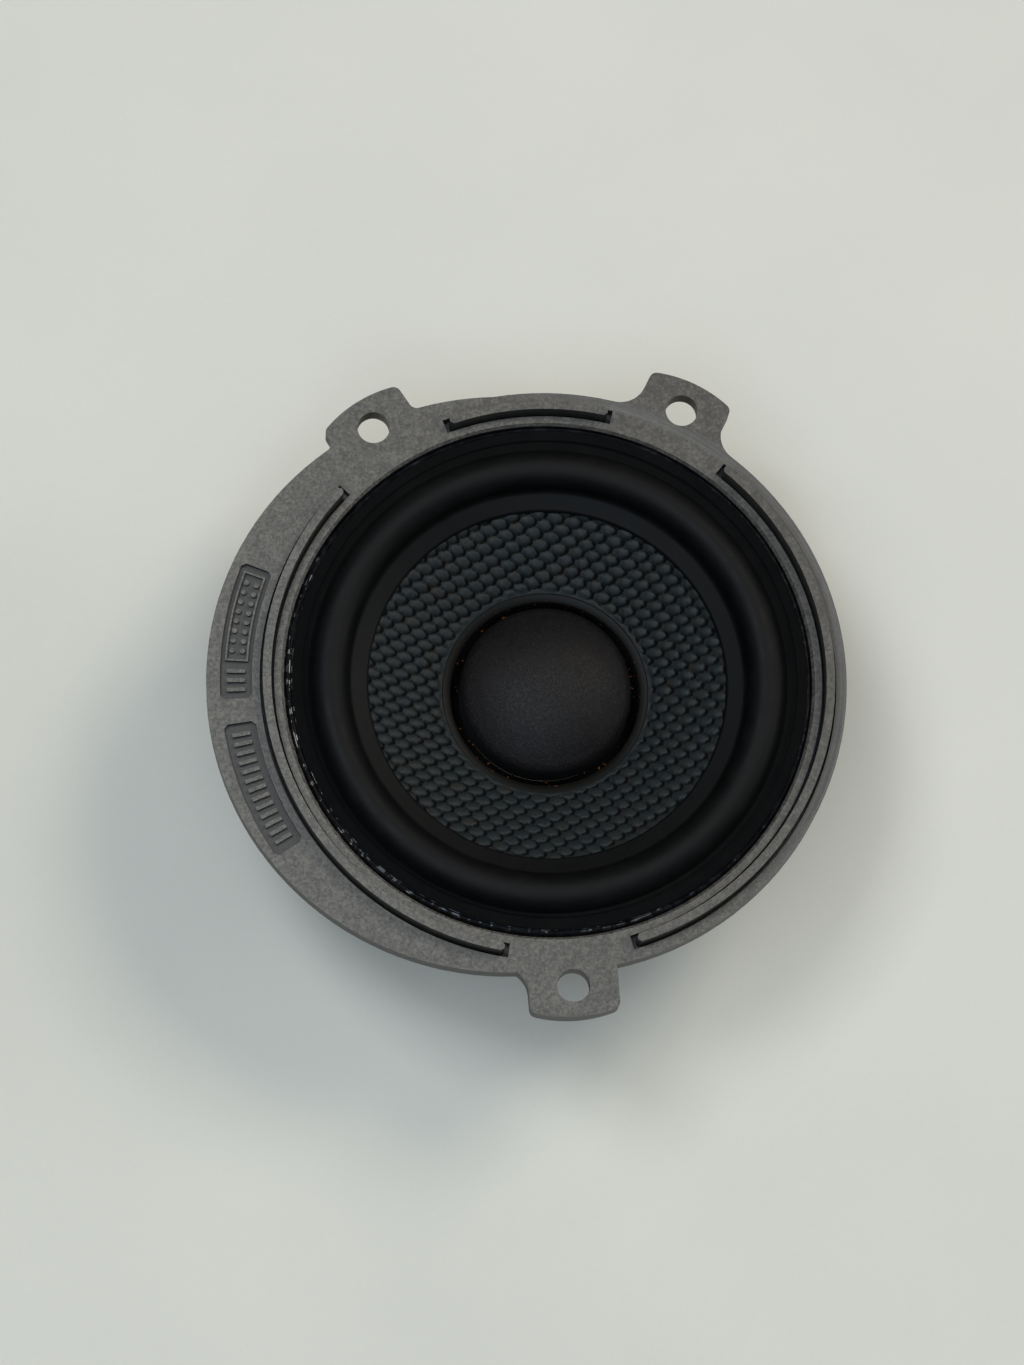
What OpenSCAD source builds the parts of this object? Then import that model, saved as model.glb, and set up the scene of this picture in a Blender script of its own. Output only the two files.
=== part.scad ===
// Small car loudspeaker driver: moulded basket with three mounting ears, woven cone,
// rubber roll surround, dust cap dome and an internal-magnet motor.
// Millimetres. +Z runs along the cone axis towards the listener, the origin is the
// centre of the flat rear face of the magnet cup, and +Y points away from the single ear.

/* [Flange] */
// Outer radius of the round part of the flange
flange_r = 45.75; // [45.2:0.05:46.5]
// Radius of the flange's inner edge, where the surround is set in
flange_in_r = 40.5; // [40.3:0.1:40.8]
// Thickness of the flange and its ears
flange_t = 3.2; // [2.8:0.1:4]
// Height of the flange's front face above the rear of the magnet cup
face_z = 35; // [34.5:0.5:37]
// Radius of the arc that widens the flange on its label side
crescent_r = 45.5; // [45:0.1:46]
// How far the centre of that arc lies to the side
crescent_shift = 6.8; // [6:0.1:7.5]

/* [Mounting ears] */
// Radius of the circle that the mounting holes lie on
hole_circle_r = 48; // [47.5:0.1:48.5]
// Diameter of a mounting hole
hole_d = 5; // [4.2:0.1:5.5]
// Width of an ear
ear_w = 13.6; // [12:0.2:14]
// Distance from the axis to the tip of an ear
ear_reach = 52.85; // [52.5:0.05:54]
// Radius of an ear's rounded tip
ear_tip_r = 20; // [15:1:30]
// Fillet where an ear meets the round flange
ear_fillet = 4.2; // [3:0.2:5]
// Fillet where an ear meets the widened side
ear_fillet_small = 1.3; // [1:0.1:2]

/* [Arc ribs] */
// Inner radius of the channel around each rib
channel_in_r = 41.95; // [41.8:0.05:42.2]
// Outer radius of the channel around each rib
channel_out_r = 44.15; // [44:0.05:44.3]
// Depth of the channel below the flange face
channel_depth = 2.2; // [1.5:0.1:2.4]
// Thickness of an arc rib
rib_t = 1.3; // [1:0.1:1.4]
// How far a rib stands above the flange face
rib_rise = 2.4; // [1.5:0.1:3]
// Angle between an ear's centre line and the end of the nearest channel
channel_gap_a = 12.5; // [11.5:0.5:13]
// Angle between the end of a channel and the end of its rib
rib_inset_a = 1.0; // [0.8:0.1:1.5]

/* [Label panels] */
// Radius at the middle of the two recessed panels
panel_mid_r = 47.75; // [47.5:0.05:48]
// Width of a panel, measured along the radius
panel_w = 4.9; // [4.4:0.1:5]
// Angle that one panel covers
panel_a = 25.4; // [23:0.2:26]
// Angle between the two panels
panel_gap_a = 4.6; // [4:0.2:6]
// Direction of the middle of the gap between the panels
panel_dir_a = 182.8; // [181:0.2:185]
// Depth of a panel below the flange face
panel_depth = 0.8; // [0.3:0.1:0.9]
// Height of the raised marks in a panel
mark_h = 0.65; // [0.2:0.05:0.7]

/* [Surround and cone] */
// Outer radius of the surround's flat rim
rim_r = 39.45; // [39.3:0.05:39.6]
// How far the rim is glued off centre, along both X and Y
rim_shift = 0.3; // [0:0.05:0.4]
// Thickness of the surround's rim
rim_t = 0.9; // [0.7:0.1:1]
// Radius of the middle of the half roll
roll_mid_r = 33.6; // [33.4:0.1:33.8]
// Radius of the half roll's own curve
roll_r = 2.7; // [2.5:0.05:2.9]
// Wall thickness of the rubber
rubber_t = 0.5; // [0.4:0.05:0.6]
// Inner radius of the lip that is glued to the cone
lip_in_r = 27.5; // [27:0.1:28]
// Outer radius of the cone
cone_r = 31.3; // [31.2:0.05:31.4]
// Radius at the inner edge of the woven cone
cone_in_r = 15.9; // [15.7:0.1:16.2]
// Slope of the cone, rise over run
cone_slope = 0.45; // [0.42:0.01:0.48]
// Thickness of the woven cone
cone_t = 0.6; // [0.5:0.05:0.7]

/* [Dust cap and neck] */
// Outer radius of the dust cap's skirt
cap_r = 13.25; // [13.2:0.01:13.3]
// Rise of the dust cap's dome above its shoulder
cap_rise = 4.3; // [3.5:0.1:5]
// Height of the dust cap's shoulder below the flange face
cap_shoulder_drop = 7.5; // [7:0.1:8]
// Radius of the inside of the neck collar
collar_in_r = 14.6; // [14.4:0.05:14.7]
// Wall thickness of the neck collar
collar_t = 0.55; // [0.5:0.05:0.7]

/* [Motor] */
// Inner radius of the voice coil former
former_in_r = 12.5; // [12.45:0.01:12.55]
// Wall thickness of the former
former_t = 0.25; // [0.2:0.01:0.28]
// Radial thickness of the winding
winding_t = 0.6; // [0.5:0.01:0.65]
// Length of the winding
winding_l = 7; // [6:0.1:7.2]
// Radius of the pole plate
pole_r = 12.1; // [12:0.01:12.15]
// Thickness of the pole plate, and so the height of the magnetic gap
gap_h = 4; // [3:0.1:4.5]
// Outer radius of the magnet cup
cup_r = 18; // [17.8:0.05:18.2]
// Thickness of the bottom of the magnet cup
cup_floor_t = 4; // [3.8:0.1:4.2]
// Thickness of the magnet
magnet_t = 5.5; // [5:0.1:6]

/* [Basket] */
// Radius of the outside of the basket at the spider seat
seat_out_r = 31.9; // [31.5:0.1:32.2]
// Height of the spider seat above the rear of the magnet cup
seat_z = 18.4; // [18.2:0.1:18.6]
// Angle that one basket window covers
window_a = 36; // [30:1:38]

/* [Spider] */
// Number of corrugations
spider_waves = 5; // [4:1:6]
// Height of a corrugation above and below the middle
spider_amp = 0.6; // [0.4:0.05:0.7]
// Thickness of the spider
spider_t = 0.35; // [0.3:0.05:0.4]

/* [Terminals] */
// Width of the connector housing
housing_w = 14; // [13:0.5:15]
// Height of the connector housing
housing_h = 8; // [7.5:0.1:8.2]
// Distance from the axis to the mouth of the connector housing
housing_mouth = 43; // [42.5:0.1:43.2]
// Distance of each blade from the housing's middle
blade_offset = 3.3; // [3:0.1:3.5]
// Width of a terminal blade
blade_w = 2.8; // [2.6:0.1:3]
// Thickness of a terminal blade
blade_t = 0.8; // [0.6:0.1:0.8]
// Diameter of a tinsel lead
lead_d = 0.8; // [0.6:0.1:0.9]

/* [Hidden] */
$fn = 144;

// clearances and the overlap that keeps a cut clean
eps = 0.01;
film = 0.03;

// heights of the stack, from the rear face up
flange_z = face_z - flange_t;
ledge_z = face_z - 1.7;
ledge_t = 3.1;
ledge_in_r = 36.4;
magnet_top = cup_floor_t + magnet_t;
cup_top = magnet_top + gap_h;
cup_in_r = former_in_r + former_t + winding_t + 0.4;
winding_z = magnet_top + gap_h / 2 - winding_l / 2;
former_z = winding_z - 0.6;
shoulder_z = face_z - cap_shoulder_drop;
cap_skirt_z = shoulder_z - 4.9;
cap_t = 0.45;
former_top = shoulder_z - 1.2;

// surround stations: the step inside the rim, the ridge beside it and the centre of the half roll
step_r = 37.85;
step_h = 0.45;
ridge_out_r = 37.3;
ridge_in_r = 36.75;
ridge_h = 0.7;
roll_z = ledge_z + 0.35;

// glue bead: how far it reaches under the rim, and its height at both sides of the joint
bead_in_r = 38;
bead_mid_r = 39.6;
bead_in_h = 0.55;
bead_mid_h = 0.75;
bead_out_h = 1.15;

// woven cone: front surface height at a radius
neck_front_z = face_z - 9.1;
function cone_front(r) = neck_front_z + cone_slope * (r - cone_in_r);

// coil former outside, and what is wrapped on it
former_out_r = former_in_r + former_t;
sleeve_t = 0.35;
sleeve_out_r = former_out_r + sleeve_t;
sleeve_z = winding_z + winding_l + 0.2;
sleeve_top = 21.9;
sleeve_slot_a = 28;
tail_r = 0.13;
tail_y = 2.2;
solder_r = 0.5;
solder_z = 20.5;

// neck collar
collar_z = 21.2;
collar_floor_t = 0.8;
collar_lip_z = neck_front_z - cone_t;

// basket stations
hub_r = 21.5;
hub_z = 6.5;
hub_lip_in_r = 14.7;
hub_lip_t = 1.2;
seat_in_r = 26.4;
seat_wall_r = 30.2;
wall_t = 1.8;
window_z = 20.4;
window_h = 9.6;
window_dirs = [0, 60, 120, 240, 300];
gusset_dirs = [30, 90, 150, 210, 270, 330];
gusset_t = 1.8;
pad_face = 39;
pad_w = 18;
pad_z = 19.4;
pad_h = 11.2;
lead_in = 0.4;

// connector housing
housing_z = 21;
housing_back = 32.4;
housing_wall = 1.2;
housing_floor = 35.6;
housing_collar_t = 1.2;
housing_collar_rim = 1.2;
blade_z = housing_z + housing_h / 2;
blade_out = 41.4;
blade_in = 28.6;
tab_hole_r = 0.55;

// rear gasket
gasket_in_r = 41.6;
gasket_out_r = 45.2;
gasket_t = 1.5;

ear_dirs = [60, 120, 270];
ear_corner = 1.2;

// tinsel lead route on the positive side, from the coil joint to the terminal tab
lead_route = [[-13.9, 2.2, 20.5], [-15.6, 2.4, 20.7], [-17.8, 2.7, 21.5], [-20.2, 3.0, 22.8],
              [-22.8, 3.2, 24.0], [-25.2, 3.3, 24.5], [-27.0, 3.3, 24.6], [-28.0, 3.3, 24.7]];

// ---------- shared shapes ----------

// a solid of revolution from a list of [radius, height] points
module turned(points) {
    rotate_extrude() polygon(points);
}

// a tube between two radii, from z up by h
module tube(r_out, r_in, z, h) {
    translate([0, 0, z]) linear_extrude(h) difference() {
        circle(r_out);
        circle(r_in);
    }
}

// a flat sector from the axis out to r, centred on direction a
module sector(r, a, width) {
    reach = r / cos(width / 2);
    polygon([[0, 0],
             [reach * cos(a - width / 2), reach * sin(a - width / 2)],
             [reach * cos(a), reach * sin(a)] / cos(width / 2),
             [reach * cos(a + width / 2), reach * sin(a + width / 2)]]);
}

// an arc-shaped block with square ends, between two directions, standing on z
module arc_block(r_in, r_out, a0, a1, z, h) {
    translate([0, 0, z]) rotate([0, 0, a0]) rotate_extrude(angle = a1 - a0)
        translate([r_in, 0]) square([r_out - r_in, h]);
}

// the same block with its four upright corners cut off
module clipped_arc_block(r_in, r_out, a0, a1, z, h, clip) {
    difference() {
        arc_block(r_in, r_out, a0, a1, z, h);
        for (a = [a0, a1], r = [r_in, r_out]) rotate([0, 0, a]) translate([r, 0, z + h / 2])
            rotate([0, 0, 45]) cube([clip, clip, h + 2], center = true);
    }
}

// points along an arc about c, from direction a0 to a1
function arc_points(c, r, a0, a1, n) =
    [for (i = [0:n]) let (a = a0 + (a1 - a0) * i / n) c + r * [cos(a), sin(a)]];

// ---------- flange outline ----------

// one side of an ear that points along +Y, from its root fillet to the middle of its tip.
// The ear stands on a round outline of radius r whose centre is c in the ear's own frame.
function ear_side(c, r, fillet) =
    let (half = ear_w / 2,
         fillet_x = half + fillet,
         fillet_c = [fillet_x, c[1] + sqrt(pow(r + fillet, 2) - pow(fillet_x - c[0], 2))],
         root_a = atan2(c[1] - fillet_c[1], c[0] - fillet_c[0]) + 360,
         tip_y = ear_reach - ear_tip_r,
         corner_x = half - ear_corner,
         corner_c = [corner_x, tip_y + sqrt(pow(ear_tip_r - ear_corner, 2) - pow(corner_x, 2))],
         corner_a = atan2(corner_c[1] - tip_y, corner_x))
    concat([[half + 1, flange_in_r + 0.2]],
           arc_points(fillet_c, fillet, root_a + 4, 180, 10),
           arc_points(corner_c, ear_corner, 0, corner_a, 5),
           arc_points([0, tip_y], ear_tip_r, corner_a + 2, 90, 7));

// mirror a side's points about the Y axis, in reverse order
function mirrored(points) = [for (i = [len(points) - 2:-1:0]) [-points[i][0], points[i][1]]];

// each side is [centre, radius, fillet] of the outline that it grows from
module ear_outline(right, left) {
    left_c = [-left[0][0], left[0][1]];
    polygon(concat(ear_side(right[0], right[1], right[2]),
                   mirrored(ear_side(left_c, left[1], left[2]))));
}

// the crescent's centre as seen from an ear that points along a
function crescent_from(a) = [-crescent_shift * sin(a), -crescent_shift * cos(a)];

function crescent_root(a) = [crescent_from(a), crescent_r, ear_fillet_small];

module flange_outline() {
    round_root = [[0, 0], flange_r, ear_fillet];
    upper_root = crescent_root(ear_dirs[1]);
    circle(flange_r);
    translate([-crescent_shift, 0]) circle(crescent_r);
    rotate([0, 0, ear_dirs[0] - 90]) ear_outline(round_root, round_root);
    rotate([0, 0, ear_dirs[1] - 90]) ear_outline(upper_root, upper_root);
    rotate([0, 0, ear_dirs[2] - 90]) ear_outline(round_root, crescent_root(ear_dirs[2]));
}

// ---------- basket ----------

// where each channel and its rib start and stop
function channel_span(i) = [ear_dirs[i] + channel_gap_a,
                            (i < 2 ? ear_dirs[i + 1] : ear_dirs[0] + 360) - channel_gap_a];

module channels() {
    for (i = [0:2]) {
        span = channel_span(i);
        arc_block(channel_in_r, channel_out_r, span[0], span[1],
                  face_z - channel_depth, channel_depth + 1);
    }
}

module ribs() {
    mid = (channel_in_r + channel_out_r) / 2;
    root = 0.2;
    clip = 0.6;
    for (i = [0:2]) {
        span = channel_span(i);
        clipped_arc_block(mid - rib_t / 2, mid + rib_t / 2, span[0] + rib_inset_a, span[1] - rib_inset_a,
                          face_z - channel_depth - root, channel_depth + rib_rise + root, clip);
    }
}

// first panel spans panel_a from its start, and the second lies beyond the gap
panel_starts = [panel_dir_a - panel_gap_a / 2 - panel_a, panel_dir_a + panel_gap_a / 2];
panel_corner = 0.9;

module panel_recesses() {
    for (a = panel_starts)
        clipped_arc_block(panel_mid_r - panel_w / 2, panel_mid_r + panel_w / 2, a, a + panel_a,
                          face_z - panel_depth, panel_depth + 1, panel_corner);
}

// plain raised marks: a framed grid of pips and a row of short bars
mark_root = 0.2;
mark_z = face_z - panel_depth - mark_root;
mark_full_h = mark_h + mark_root;
frame_half_w = 1.75;
frame_line = 0.28;
pip_d = 0.8;
pip_pitch_a = 1.85;
bar_w = 0.6;
bar_half_l = 1.4;
bar_pitch_a = 1.75;

module mark_frame(a0, a1) {
    line_a = frame_line / panel_mid_r * 180 / PI;
    difference() {
        arc_block(panel_mid_r - frame_half_w, panel_mid_r + frame_half_w, a0, a1, mark_z, mark_full_h);
        arc_block(panel_mid_r - frame_half_w + frame_line, panel_mid_r + frame_half_w - frame_line,
                  a0 + line_a, a1 - line_a, mark_z - 1, mark_full_h + 2);
    }
}

module mark_bars(start_a, count) {
    for (i = [0:count - 1]) rotate([0, 0, start_a + i * bar_pitch_a])
        translate([panel_mid_r - bar_half_l, -bar_w / 2, mark_z])
            cube([2 * bar_half_l, bar_w, mark_full_h]);
}

module panel_marks() {
    frame_a = [panel_starts[0] + 1.3, panel_starts[0] + 18.2];
    mark_frame(frame_a[0], frame_a[1]);
    for (i = [0:7], row = [-1, 1]) rotate([0, 0, frame_a[0] + 2 + i * pip_pitch_a])
        translate([panel_mid_r + row * pip_d, 0, mark_z]) cylinder(d = pip_d, h = mark_full_h, $fn = 24);
    mark_bars(frame_a[1] + 1.9, 3);
    mark_bars(panel_starts[1] + 2.1, 13);
}

// outer skin of the cage at a height, a straight cone from the seat up to just below the flange
cage_top_z = flange_z - 0.6;
cage_top_r = flange_in_r - 0.6;
function cage_out(z) = seat_out_r + (z - seat_z) * (cage_top_r - seat_out_r) / (cage_top_z - seat_z);

module cage() {
    turned([[ledge_in_r, ledge_z], [flange_in_r + 1, ledge_z], [flange_in_r + 1, flange_z],
            [cage_top_r, cage_top_z], [seat_out_r, seat_z],
            [seat_out_r - 1.2, seat_z - 2], [hub_r, cup_top - 2.2], [hub_r, hub_z],
            [cup_r + film, hub_z], [cup_r + film, cup_top + film], [hub_lip_in_r, cup_top + film],
            [hub_lip_in_r, cup_top + hub_lip_t], [hub_r - 1.5, cup_top + hub_lip_t],
            [seat_in_r, seat_z - 0.6], [seat_in_r, seat_z], [seat_wall_r, seat_z],
            [ledge_in_r, ledge_z - ledge_t]]);
}

module windows() {
    for (a = window_dirs) difference() {
        translate([0, 0, window_z]) linear_extrude(window_h) sector(flange_r, a, window_a);
        cylinder(r = seat_in_r, h = face_z);
    }
}

// upright fins under the spider seat, one below each leg of the cage
module gussets() {
    inner = hub_r - 0.5;
    for (a = gusset_dirs) rotate([0, 0, a]) rotate([90, 0, 0])
        translate([0, 0, -gusset_t / 2]) linear_extrude(gusset_t)
            polygon([[inner, hub_z + 1.5], [inner + 2, hub_z + 1.5], [seat_out_r - 1.4, seat_z - 4.5],
                     [seat_out_r - 1, seat_z - 1.8], [inner, cup_top - 2.6]]);
}

// flat face that the connector is fixed to
module terminal_pad() {
    difference() {
        translate([-pad_face, -pad_w / 2, pad_z])
            cube([pad_face - seat_wall_r - 1.2, pad_w, pad_h]);
        translate([0, 0, seat_z]) cylinder(r1 = seat_out_r - wall_t / 2,
                                           r2 = cage_out(face_z) - wall_t / 2, h = face_z - seat_z);
    }
}

module basket() {
    color("#605e5c") difference() {
        union() {
            translate([0, 0, flange_z]) linear_extrude(flange_t) difference() {
                flange_outline();
                circle(flange_in_r);
            }
            cage();
            gussets();
            terminal_pad();
        }
        // lead-in chamfer around the inner edge of the flange
        translate([0, 0, face_z - lead_in])
            cylinder(r1 = flange_in_r - eps, r2 = flange_in_r + lead_in + eps, h = lead_in + 2 * eps);
        for (a = ear_dirs) rotate([0, 0, a]) translate([hole_circle_r, 0, flange_z - 1])
            cylinder(d = hole_d, h = flange_t + 2);
        channels();
        panel_recesses();
        windows();
        translate([-pad_face - 1, -housing_w / 2, housing_z])
            cube([pad_face - housing_back + 6, housing_w, housing_h]);
    }
    color("#605e5c") ribs();
    color("#605e5c") panel_marks();
}

module rear_gasket() {
    color("#1d1d1e") tube(gasket_out_r, gasket_in_r, flange_z - gasket_t, gasket_t);
}

// ---------- surround and its glue ----------

// fills the step between the flange and the off-centre rim with a sloping bead
module glue_bead() {
    color("#060608") difference() {
        turned([[bead_in_r, ledge_z], [flange_in_r - film, ledge_z],
                [flange_in_r - film, ledge_z + bead_out_h], [bead_mid_r, ledge_z + bead_mid_h],
                [bead_in_r, ledge_z + bead_in_h]]);
        translate([rim_shift, rim_shift, 0]) cylinder(r = rim_r + film, h = face_z + 1);
    }
}

module surround() {
    outer = roll_r + rubber_t / 2;
    inner = roll_r - rubber_t / 2;
    lip_out_r = roll_mid_r - outer - 0.5;
    lip_nose_r = lip_in_r + 0.25;
    lap_r = cone_r - 0.5;
    color("#161618") {
        // flat rim, cut slightly off centre
        difference() {
            translate([rim_shift, rim_shift, ledge_z]) cylinder(r = rim_r, h = rim_t);
            translate([0, 0, ledge_z - 1]) cylinder(r = step_r, h = rim_t + 2);
        }
        // step, ridge, half roll and the lip on the cone
        turned(concat([[step_r + eps, ledge_z], [step_r + eps, ledge_z + step_h],
                       [step_r - 0.3, ledge_z + step_h], [ridge_out_r, ledge_z + ridge_h],
                       [ridge_in_r, ledge_z + ridge_h]],
                      [for (a = [0:6:180]) [roll_mid_r + outer * cos(a), roll_z + outer * sin(a)]],
                      [[lip_out_r, cone_front(lip_out_r) + film + rubber_t],
                       [lip_nose_r, cone_front(lip_nose_r) + film + rubber_t],
                       [lip_in_r, cone_front(lip_in_r) + film + rubber_t / 2],
                       [lip_in_r, cone_front(lip_in_r) + film], [lap_r, cone_front(lap_r) + film]],
                      [for (a = [180:-6:0]) [roll_mid_r + inner * cos(a), roll_z + inner * sin(a)]],
                      [[roll_mid_r + inner, ledge_z], [ledge_in_r, ledge_z]]));
    }
}

// ---------- cone, collar and cap ----------

module cone() {
    color("#2c2f31") turned([[cone_in_r, cone_front(cone_in_r)],
                             [cone_r, cone_front(cone_r)],
                             [cone_r, cone_front(cone_r) - cone_t],
                             [cone_in_r, cone_front(cone_in_r) - cone_t]]);
}

// the light ring that carries the cone's inner edge down to the coil
module neck_collar() {
    wall_out = collar_in_r + collar_t;
    lap_r = cone_in_r + 0.9;
    color("#6b6c6c") turned([[sleeve_out_r + film, collar_z], [wall_out, collar_z],
                             [wall_out, collar_lip_z - 0.6], [lap_r, collar_lip_z - 0.2],
                             [lap_r, cone_front(lap_r) - cone_t - film],
                             [cone_in_r - film, cone_front(cone_in_r) - cone_t - film],
                             [cone_in_r - film, neck_front_z - 0.1],
                             [wall_out, neck_front_z - 0.35], [collar_in_r, neck_front_z - 0.6],
                             [collar_in_r, collar_z + collar_floor_t],
                             [sleeve_out_r + film, collar_z + collar_floor_t]]);
}

// dome with a rolled shoulder and a straight skirt that slips over the former
module dust_cap() {
    // sphere through the shoulder circle and the top
    curve_r = (cap_r * cap_r + cap_rise * cap_rise) / (2 * cap_rise);
    edge_a = asin(cap_r / curve_r);
    base_z = shoulder_z + cap_rise - curve_r;
    steps = 12;
    outer = [for (i = [0:steps]) let (a = edge_a * (1 - i / steps))
             [curve_r * sin(a), base_z + curve_r * cos(a)]];
    inner = [for (i = [0:steps]) let (a = edge_a * i / steps)
             [(curve_r - cap_t) * sin(a), base_z + (curve_r - cap_t) * cos(a)]];
    color("#111214") turned(concat([[cap_r, cap_skirt_z]], outer, inner,
                                   [[former_out_r + film, shoulder_z - cap_t],
                                    [former_out_r + film, cap_skirt_z]]));
}

// ---------- coil ----------

module coil_former() {
    color("#b08a4a") tube(former_out_r, former_in_r, former_z, former_top - former_z);
}

module voice_coil() {
    color("#9a4a1e") tube(former_out_r + winding_t, former_out_r + film, winding_z, winding_l);
}

// paper sleeve with a slot that the winding's two ends run up through
module former_sleeve() {
    color("#c9b07a") difference() {
        tube(sleeve_out_r, former_out_r + film, sleeve_z, sleeve_top - sleeve_z);
        translate([0, 0, sleeve_z - 1]) linear_extrude(sleeve_top) sector(20, 180, sleeve_slot_a);
    }
}

module coil_tail(side) {
    r = former_out_r + film + tail_r;
    color("#b5531f") translate([-sqrt(r * r - tail_y * tail_y), side * tail_y, winding_z + winding_l + film])
        cylinder(r = tail_r, h = solder_z - solder_r - winding_z - winding_l - 2 * film, $fn = 24);
}

module coil_solder() {
    r = former_out_r + film + solder_r;
    for (side = [-1, 1]) color("#b9bcc0")
        translate([-sqrt(r * r - tail_y * tail_y), side * tail_y, solder_z]) sphere(solder_r, $fn = 32);
}

// ---------- spider ----------

module spider() {
    in_r = sleeve_out_r + film;
    wave_in = 14.6;
    wave_out = 26.2;
    steps = spider_waves * 10;
    mid_z = seat_z + spider_t / 2;
    wave = [for (i = [0:steps]) [wave_in + (wave_out - wave_in) * i / steps,
                                 mid_z + spider_amp * sin(360 * spider_waves * i / steps)]];
    half = spider_t / 2;
    color("#8a6f3a") turned(concat([[in_r, mid_z - half], [wave_in, mid_z - half]],
                                   [for (i = [1:steps - 1]) wave[i] - [0, half]],
                                   [[wave_out, mid_z - half], [seat_wall_r - 0.4, mid_z - half],
                                    [seat_wall_r - 0.4, mid_z + half], [wave_out, mid_z + half]],
                                   [for (i = [steps - 1:-1:1]) wave[i] + [0, half]],
                                   [[wave_in, mid_z + half], [in_r + spider_t, mid_z + half],
                                    [in_r + spider_t, mid_z + half + 0.9], [in_r, mid_z + half + 0.9]]));
}

// ---------- motor ----------

module magnet_cup() {
    edge = 0.8;
    undercut = 0.6;
    color("#3b3d40") turned([[0, 0], [cup_r - edge, 0], [cup_r, edge], [cup_r, cup_top],
                             [cup_in_r, cup_top], [cup_in_r, magnet_top - 0.4],
                             [cup_in_r + undercut, magnet_top - 1], [cup_in_r + undercut, cup_floor_t],
                             [0, cup_floor_t]]);
}

module magnet_disc() {
    color("#8f9296") translate([0, 0, cup_floor_t]) cylinder(r = pole_r - 0.5, h = magnet_t);
}

module pole_plate() {
    color("#6d7073") translate([0, 0, magnet_top]) cylinder(r = pole_r, h = gap_h);
}

// ---------- terminals ----------

module terminal_housing() {
    length = housing_mouth - housing_back;
    slot_t = blade_t + 2 * film;
    slot_w = blade_w + 2 * film;
    rim = housing_collar_rim;
    inside_w = housing_w - 2 * housing_wall;
    inside_h = housing_h - 2 * housing_wall;
    color("#1b1c1e") difference() {
        union() {
            translate([-housing_mouth, -housing_w / 2 + film, housing_z + film])
                cube([length, housing_w - 2 * film, housing_h - 2 * film]);
            translate([-pad_face - housing_collar_t, -housing_w / 2 - rim, housing_z - rim])
                cube([housing_collar_t, housing_w + 2 * rim, housing_h + 2 * rim]);
        }
        translate([-housing_mouth - 1, -inside_w / 2, housing_z + housing_wall])
            cube([housing_mouth - housing_floor + 1, inside_w, inside_h]);
        for (side = [-1, 1])
            translate([-housing_mouth, side * blade_offset - slot_t / 2, blade_z - slot_w / 2])
                cube([length + 1, slot_t, slot_w]);
    }
}

module blade(side) {
    tip = 0.9;
    color("#c8a24a") difference() {
        translate([0, side * blade_offset + blade_t / 2, 0]) rotate([90, 0, 0]) linear_extrude(blade_t)
            polygon([[-blade_in, blade_z - blade_w / 2], [-blade_in, blade_z + blade_w / 2],
                     [-blade_out + tip, blade_z + blade_w / 2], [-blade_out, blade_z + blade_w / 2 - tip],
                     [-blade_out, blade_z - blade_w / 2 + tip], [-blade_out + tip, blade_z - blade_w / 2]]);
        translate([-blade_in - 1.3, side * blade_offset, blade_z]) rotate([90, 0, 0])
            cylinder(r = tab_hole_r, h = 4, center = true, $fn = 32);
    }
}

// a flat bead of solder on the inner end of each blade
module terminal_solder() {
    for (side = [-1, 1]) color("#b9bcc0")
        translate([-blade_in + film, side * blade_offset, blade_z - 0.3]) rotate([0, 90, 0])
            cylinder(r1 = 0.75, r2 = 0.5, h = 0.5, $fn = 32);
}

// ---------- tinsel leads ----------

function unit(v) = v / norm(v);
function lead_point(i, side) = [lead_route[i][0], side * lead_route[i][1], lead_route[i][2]];
function lead_dir(i, side) = unit(lead_point(min(i + 1, len(lead_route) - 1), side)
                                  - lead_point(max(i - 1, 0), side));

// a tube of eight sides along the route
module tinsel_lead(side) {
    sides = 8;
    rings = len(lead_route);
    points = [for (i = [0:rings - 1])
              let (d = lead_dir(i, side), u = unit(cross(d, [0, 1, 0])), v = cross(d, u))
              for (k = [0:sides - 1]) let (a = 360 * k / sides)
              lead_point(i, side) + lead_d / 2 * (cos(a) * u + sin(a) * v)];
    walls = [for (i = [0:rings - 2], k = [0:sides - 1]) let (n = (k + 1) % sides)
             [i * sides + k, (i + 1) * sides + k, (i + 1) * sides + n, i * sides + n]];
    first = [for (k = [0:sides - 1]) k];
    last = [for (k = [sides - 1:-1:0]) (rings - 1) * sides + k];
    color("#a8702f") polyhedron(points = points, faces = concat(walls, [first], [last]));
}

module terminal_positive() {
    blade(1);
}

module terminal_negative() {
    blade(-1);
}

module coil_tail_positive() {
    coil_tail(1);
}

module coil_tail_negative() {
    coil_tail(-1);
}

module tinsel_lead_positive() {
    tinsel_lead(1);
}

module tinsel_lead_negative() {
    tinsel_lead(-1);
}

basket();
rear_gasket();
glue_bead();
magnet_cup();
magnet_disc();
pole_plate();
terminal_housing();
terminal_positive();
terminal_negative();
terminal_solder();
surround();
cone();
neck_collar();
dust_cap();
coil_former();
former_sleeve();
voice_coil();
coil_tail_positive();
coil_tail_negative();
coil_solder();
spider();
tinsel_lead_positive();
tinsel_lead_negative();
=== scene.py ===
"""Looks for a small car loudspeaker driver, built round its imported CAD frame.

Lengths here are millimetres, and MM turns them into Blender's metres.
"""

import math

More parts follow.
